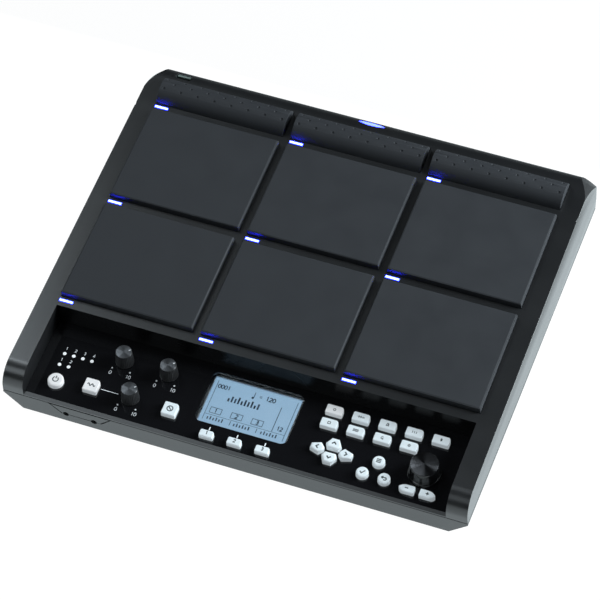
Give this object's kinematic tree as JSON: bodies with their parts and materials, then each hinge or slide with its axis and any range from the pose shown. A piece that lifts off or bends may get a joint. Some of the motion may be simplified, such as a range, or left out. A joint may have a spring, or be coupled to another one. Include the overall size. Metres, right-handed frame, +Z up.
{
  "type": "sampling drum pad",
  "caption": "Table-top electronic percussion unit with flat pads and rear ridge pads on a sloping deck, and a sunken front panel of keys, knobs, a dial and a lit display.",
  "frame": {"origin": "on the table under the middle of the case, at the foot of the rubber feet", "axes": "+X to the player's right, +Y away from the player to the rear, +Z up"},
  "size_m": [0.3672, 0.3206, 0.0788],
  "materials": {
    "case_plastic": "fine satin texture, dark grey",
    "base_plastic": "fine satin texture, mid grey",
    "panel_gloss": "polished black",
    "window_clear": "clear",
    "lcd_face": "lit pale blue display",
    "lamp_white": "unlit white indicator lens",
    "light_lens": "lit blue lens",
    "pad_rubber": "fine matt natural rubber",
    "key_rubber": "white silicone, lit from below",
    "knob_plastic": "dark grey, spun top",
    "dial_gloss": "black, spun top",
    "board_green": "solder mask",
    "socket_black": "moulded",
    "foam_grey": "open-cell foam",
    "foot_rubber": "matt",
    "bare_steel": "zinc-plated",
    "brass_plain": "plain"
  },
  "bodies": {
    "case": {"top_cover": "case_plastic", "bottom_case": "base_plastic", "control_panel": "panel_gloss", "display_window": "window_clear", "display_frame": "bare_steel", "lcd_panel": "lcd_face", "indicator_lamps": "lamp_white", "key_board": "board_green", "key_switches": "socket_black", "control_bases": "socket_black", "pad_lights": "light_lens", "rear_light": "light_lens", "pad_foams": "foam_grey", "pad_tray": "bare_steel", "pad_sensors": "brass_plain", "front_jack_plate": "base_plastic", "front_sockets": "socket_black", "main_board": "board_green", "rear_sockets": "socket_black", "usb_sockets": "bare_steel", "stand_inserts": "brass_plain", "rubber_feet": "foot_rubber", "screws": "bare_steel"},
    "pad_1": {"pad_1": "pad_rubber"},
    "pad_2": {"pad_2": "pad_rubber"},
    "pad_3": {"pad_3": "pad_rubber"},
    "pad_4": {"pad_4": "pad_rubber"},
    "pad_5": {"pad_5": "pad_rubber"},
    "pad_6": {"pad_6": "pad_rubber"},
    "ridge_pad_1": {"ridge_pad_1": "pad_rubber"},
    "ridge_pad_2": {"ridge_pad_2": "pad_rubber"},
    "ridge_pad_3": {"ridge_pad_3": "pad_rubber"},
    "power_key": {"power_key": "key_rubber"},
    "effect_key": {"effect_key": "key_rubber"},
    "all_off_key": {"all_off_key": "key_rubber"},
    "arrow_up_key": {"arrow_up_key": "key_rubber"},
    "arrow_down_key": {"arrow_down_key": "key_rubber"},
    "arrow_left_key": {"arrow_left_key": "key_rubber"},
    "arrow_right_key": {"arrow_right_key": "key_rubber"},
    "menu_key": {"menu_key": "key_rubber"},
    "enter_key": {"enter_key": "key_rubber"},
    "return_key": {"return_key": "key_rubber"},
    "minus_key": {"minus_key": "key_rubber"},
    "plus_key": {"plus_key": "key_rubber"},
    "upper_key_1": {"upper_key_1": "key_rubber"},
    "upper_key_2": {"upper_key_2": "key_rubber"},
    "upper_key_3": {"upper_key_3": "key_rubber"},
    "upper_key_4": {"upper_key_4": "key_rubber"},
    "upper_key_5": {"upper_key_5": "key_rubber"},
    "lower_key_1": {"lower_key_1": "key_rubber"},
    "lower_key_2": {"lower_key_2": "key_rubber"},
    "lower_key_3": {"lower_key_3": "key_rubber"},
    "lower_key_4": {"lower_key_4": "key_rubber"},
    "soft_key_1": {"soft_key_1": "key_rubber"},
    "soft_key_2": {"soft_key_2": "key_rubber"},
    "soft_key_3": {"soft_key_3": "key_rubber"},
    "level_knob_1": {"level_knob_1": "knob_plastic"},
    "level_knob_2": {"level_knob_2": "knob_plastic"},
    "level_knob_3": {"level_knob_3": "knob_plastic"},
    "dial": {"dial": "dial_gloss"}
  },
  "joints": [
    {"name": "power_key_press", "type": "slide", "parent": "case", "child": "power_key", "axis": [0, 0.0872, -0.9962], "range_m": [0, 0.0006], "stiffness_N_per_m": 2500},
    {"name": "effect_key_press", "type": "slide", "parent": "case", "child": "effect_key", "axis": [0, 0.0872, -0.9962], "range_m": [0, 0.0006], "stiffness_N_per_m": 2500},
    {"name": "all_off_key_press", "type": "slide", "parent": "case", "child": "all_off_key", "axis": [0, 0.0872, -0.9962], "range_m": [0, 0.0006], "stiffness_N_per_m": 2500},
    {"name": "arrow_up_key_press", "type": "slide", "parent": "case", "child": "arrow_up_key", "axis": [0, 0.0872, -0.9962], "range_m": [0, 0.0006], "stiffness_N_per_m": 2500},
    {"name": "arrow_down_key_press", "type": "slide", "parent": "case", "child": "arrow_down_key", "axis": [0, 0.0872, -0.9962], "range_m": [0, 0.0006], "stiffness_N_per_m": 2500},
    {"name": "arrow_left_key_press", "type": "slide", "parent": "case", "child": "arrow_left_key", "axis": [0, 0.0872, -0.9962], "range_m": [0, 0.0006], "stiffness_N_per_m": 2500},
    {"name": "arrow_right_key_press", "type": "slide", "parent": "case", "child": "arrow_right_key", "axis": [0, 0.0872, -0.9962], "range_m": [0, 0.0006], "stiffness_N_per_m": 2500},
    {"name": "menu_key_press", "type": "slide", "parent": "case", "child": "menu_key", "axis": [0, 0.0872, -0.9962], "range_m": [0, 0.0006], "stiffness_N_per_m": 2500},
    {"name": "enter_key_press", "type": "slide", "parent": "case", "child": "enter_key", "axis": [0, 0.0872, -0.9962], "range_m": [0, 0.0006], "stiffness_N_per_m": 2500},
    {"name": "return_key_press", "type": "slide", "parent": "case", "child": "return_key", "axis": [0, 0.0872, -0.9962], "range_m": [0, 0.0006], "stiffness_N_per_m": 2500},
    {"name": "minus_key_press", "type": "slide", "parent": "case", "child": "minus_key", "axis": [0, 0.0872, -0.9962], "range_m": [0, 0.0006], "stiffness_N_per_m": 2500},
    {"name": "plus_key_press", "type": "slide", "parent": "case", "child": "plus_key", "axis": [0, 0.0872, -0.9962], "range_m": [0, 0.0006], "stiffness_N_per_m": 2500},
    {"name": "upper_key_1_press", "type": "slide", "parent": "case", "child": "upper_key_1", "axis": [0, 0.0872, -0.9962], "range_m": [0, 0.0006], "stiffness_N_per_m": 2500},
    {"name": "upper_key_2_press", "type": "slide", "parent": "case", "child": "upper_key_2", "axis": [0, 0.0872, -0.9962], "range_m": [0, 0.0006], "stiffness_N_per_m": 2500},
    {"name": "upper_key_3_press", "type": "slide", "parent": "case", "child": "upper_key_3", "axis": [0, 0.0872, -0.9962], "range_m": [0, 0.0006], "stiffness_N_per_m": 2500},
    {"name": "upper_key_4_press", "type": "slide", "parent": "case", "child": "upper_key_4", "axis": [0, 0.0872, -0.9962], "range_m": [0, 0.0006], "stiffness_N_per_m": 2500},
    {"name": "upper_key_5_press", "type": "slide", "parent": "case", "child": "upper_key_5", "axis": [0, 0.0872, -0.9962], "range_m": [0, 0.0006], "stiffness_N_per_m": 2500},
    {"name": "lower_key_1_press", "type": "slide", "parent": "case", "child": "lower_key_1", "axis": [0, 0.0872, -0.9962], "range_m": [0, 0.0006], "stiffness_N_per_m": 2500},
    {"name": "lower_key_2_press", "type": "slide", "parent": "case", "child": "lower_key_2", "axis": [0, 0.0872, -0.9962], "range_m": [0, 0.0006], "stiffness_N_per_m": 2500},
    {"name": "lower_key_3_press", "type": "slide", "parent": "case", "child": "lower_key_3", "axis": [0, 0.0872, -0.9962], "range_m": [0, 0.0006], "stiffness_N_per_m": 2500},
    {"name": "lower_key_4_press", "type": "slide", "parent": "case", "child": "lower_key_4", "axis": [0, 0.0872, -0.9962], "range_m": [0, 0.0006], "stiffness_N_per_m": 2500},
    {"name": "soft_key_1_press", "type": "slide", "parent": "case", "child": "soft_key_1", "axis": [0, 0.0872, -0.9962], "range_m": [0, 0.0006], "stiffness_N_per_m": 2500},
    {"name": "soft_key_2_press", "type": "slide", "parent": "case", "child": "soft_key_2", "axis": [0, 0.0872, -0.9962], "range_m": [0, 0.0006], "stiffness_N_per_m": 2500},
    {"name": "soft_key_3_press", "type": "slide", "parent": "case", "child": "soft_key_3", "axis": [0, 0.0872, -0.9962], "range_m": [0, 0.0006], "stiffness_N_per_m": 2500},
    {"name": "pad_1_strike", "type": "slide", "parent": "case", "child": "pad_1", "axis": [0, 0.0872, -0.9962], "range_m": [0, 0.0006], "stiffness_N_per_m": 30000},
    {"name": "pad_2_strike", "type": "slide", "parent": "case", "child": "pad_2", "axis": [0, 0.0872, -0.9962], "range_m": [0, 0.0006], "stiffness_N_per_m": 30000},
    {"name": "pad_3_strike", "type": "slide", "parent": "case", "child": "pad_3", "axis": [0, 0.0872, -0.9962], "range_m": [0, 0.0006], "stiffness_N_per_m": 30000},
    {"name": "pad_4_strike", "type": "slide", "parent": "case", "child": "pad_4", "axis": [0, 0.0872, -0.9962], "range_m": [0, 0.0006], "stiffness_N_per_m": 30000},
    {"name": "pad_5_strike", "type": "slide", "parent": "case", "child": "pad_5", "axis": [0, 0.0872, -0.9962], "range_m": [0, 0.0006], "stiffness_N_per_m": 30000},
    {"name": "pad_6_strike", "type": "slide", "parent": "case", "child": "pad_6", "axis": [0, 0.0872, -0.9962], "range_m": [0, 0.0006], "stiffness_N_per_m": 30000},
    {"name": "ridge_pad_1_strike", "type": "slide", "parent": "case", "child": "ridge_pad_1", "axis": [0, 0.0872, -0.9962], "range_m": [0, 0.0006], "stiffness_N_per_m": 30000},
    {"name": "ridge_pad_2_strike", "type": "slide", "parent": "case", "child": "ridge_pad_2", "axis": [0, 0.0872, -0.9962], "range_m": [0, 0.0006], "stiffness_N_per_m": 30000},
    {"name": "ridge_pad_3_strike", "type": "slide", "parent": "case", "child": "ridge_pad_3", "axis": [0, 0.0872, -0.9962], "range_m": [0, 0.0006], "stiffness_N_per_m": 30000},
    {"name": "level_knob_1_turn", "type": "hinge", "parent": "case", "child": "level_knob_1", "pos_m": [-0.1047, -0.1088, 0.02792], "axis": [0, -0.0872, 0.9962], "range_deg": [-150, 150]},
    {"name": "level_knob_2_turn", "type": "hinge", "parent": "case", "child": "level_knob_2", "pos_m": [-0.08855, -0.13809, 0.02535], "axis": [0, -0.0872, 0.9962], "range_deg": [-150, 150]},
    {"name": "level_knob_3_turn", "type": "hinge", "parent": "case", "child": "level_knob_3", "pos_m": [-0.06875, -0.1092, 0.02788], "axis": [0, -0.0872, 0.9962], "range_deg": [-150, 150]},
    {"name": "dial_turn", "type": "hinge", "parent": "case", "child": "dial", "pos_m": [0.1404, -0.13062, 0.02601], "axis": [0, -0.0872, 0.9962], "continuous": true}
  ]
}
